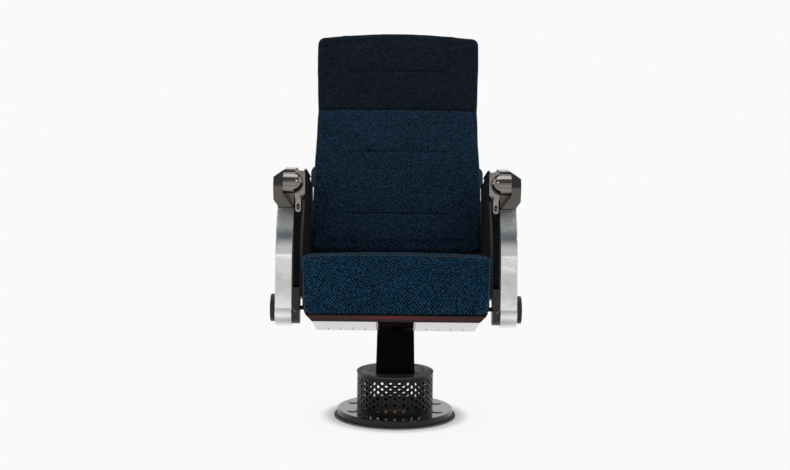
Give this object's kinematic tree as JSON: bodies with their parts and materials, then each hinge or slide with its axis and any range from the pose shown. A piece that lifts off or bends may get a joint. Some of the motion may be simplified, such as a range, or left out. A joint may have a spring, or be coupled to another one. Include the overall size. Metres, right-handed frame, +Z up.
{
  "type": "tip up auditorium seat",
  "caption": "Tip up auditorium seat on a round air outlet pedestal, with a high reclined back, cast legs and a writing tablet stowed in the side.",
  "frame": {"origin": "on the floor, at the middle of the round base plate", "axes": "+Z up, +X to the right as the picture shows it, -Y towards the front of the seat"},
  "size_m": [0.6336, 0.6117, 1.0029],
  "materials": {
    "anchor_cap_plastic": "satin",
    "anchor_steel": "zinc plated",
    "arm_metal": "satin gun metal",
    "back_cloth": "woven",
    "base_enamel": "gloss",
    "board_lacquer": "gloss lacquer",
    "bracket_enamel": "satin",
    "bush_plastic": "matt",
    "cap_enamel": "satin",
    "column_enamel": "satin",
    "fastener_steel": "blackened",
    "frame_enamel": "satin",
    "gasket_rubber": "matt",
    "knuckle_metal": "gloss gun metal",
    "leg_aluminium": "polished",
    "leg_cap_plastic": "satin",
    "pad_rubber": "matt",
    "pan_lacquer": "gloss lacquer",
    "panel_board": "matt",
    "pin_steel": "ground",
    "screen_enamel": "satin",
    "seat_cloth": "woven",
    "shell_plastic": "fine grain",
    "side_cloth": "woven",
    "sleeve_rubber": "matt",
    "tablet_laminate": "satin",
    "trim_plastic": "matt"
  },
  "bodies": {
    "frame": {"anchor_caps": "anchor_cap_plastic", "anchor_nuts": "anchor_steel", "arm_head_left": "arm_metal", "arm_head_right": "arm_metal", "armrest_left": "arm_metal", "armrest_right": "arm_metal", "back_cushion": "back_cloth", "back_screws": "fastener_steel", "back_shell": "shell_plastic", "back_uprights": "frame_enamel", "base_plate": "base_enamel", "beam_bolts": "fastener_steel", "beam_flanges": "frame_enamel", "column_screws": "fastener_steel", "column_tube": "column_enamel", "diffuser_cap": "cap_enamel", "diffuser_screen": "screen_enamel", "diffuser_struts": "screen_enamel", "floor_gasket": "gasket_rubber", "front_post_left": "frame_enamel", "front_post_right": "frame_enamel", "front_screws": "fastener_steel", "inner_cap_rail_left": "arm_metal", "inner_cap_rail_right": "arm_metal", "inner_pad_left": "side_cloth", "inner_pad_right": "side_cloth", "inner_panel_left": "panel_board", "inner_panel_right": "panel_board", "knuckle_left": "knuckle_metal", "knuckle_right": "knuckle_metal", "leg_cap_left": "leg_cap_plastic", "leg_cap_right": "leg_cap_plastic", "leg_left": "leg_aluminium", "leg_right": "leg_aluminium", "panel_trim_left": "trim_plastic", "panel_trim_right": "trim_plastic", "pivot_pins": "pin_steel", "pivot_spacers": "bush_plastic", "rear_beam": "frame_enamel", "side_plate_left": "frame_enamel", "side_plate_right": "frame_enamel", "side_rail_left": "frame_enamel", "side_rail_right": "frame_enamel", "stop_pins": "pin_steel", "stop_sleeves": "sleeve_rubber", "support_arm": "frame_enamel"},
    "seat": {"bracket_screws": "fastener_steel", "pivot_bushes": "bush_plastic", "seat_board": "board_lacquer", "seat_bracket_left": "bracket_enamel", "seat_bracket_right": "bracket_enamel", "seat_cushion": "seat_cloth", "seat_pan": "pan_lacquer", "stop_pads": "pad_rubber"},
    "tablet_left": {"tablet_hinge_left": "knuckle_metal", "tablet_left": "tablet_laminate", "tablet_screw_left": "fastener_steel"},
    "tablet_right": {"tablet_hinge_right": "knuckle_metal", "tablet_right": "tablet_laminate", "tablet_screw_right": "fastener_steel"}
  },
  "joints": [
    {"name": "seat_tip", "type": "hinge", "parent": "frame", "child": "seat", "pos_m": [0, 0.06, 0.312], "axis": [-1, 0, 0], "range_deg": [0, 75]},
    {"name": "tablet_lift_left", "type": "hinge", "parent": "frame", "child": "tablet_left", "pos_m": [0, -0.134, 0.613], "axis": [1, 0, 0], "range_deg": [0, 180]},
    {"name": "tablet_lift_right", "type": "hinge", "parent": "frame", "child": "tablet_right", "pos_m": [0, -0.134, 0.613], "axis": [1, 0, 0], "range_deg": [0, 180]}
  ]
}
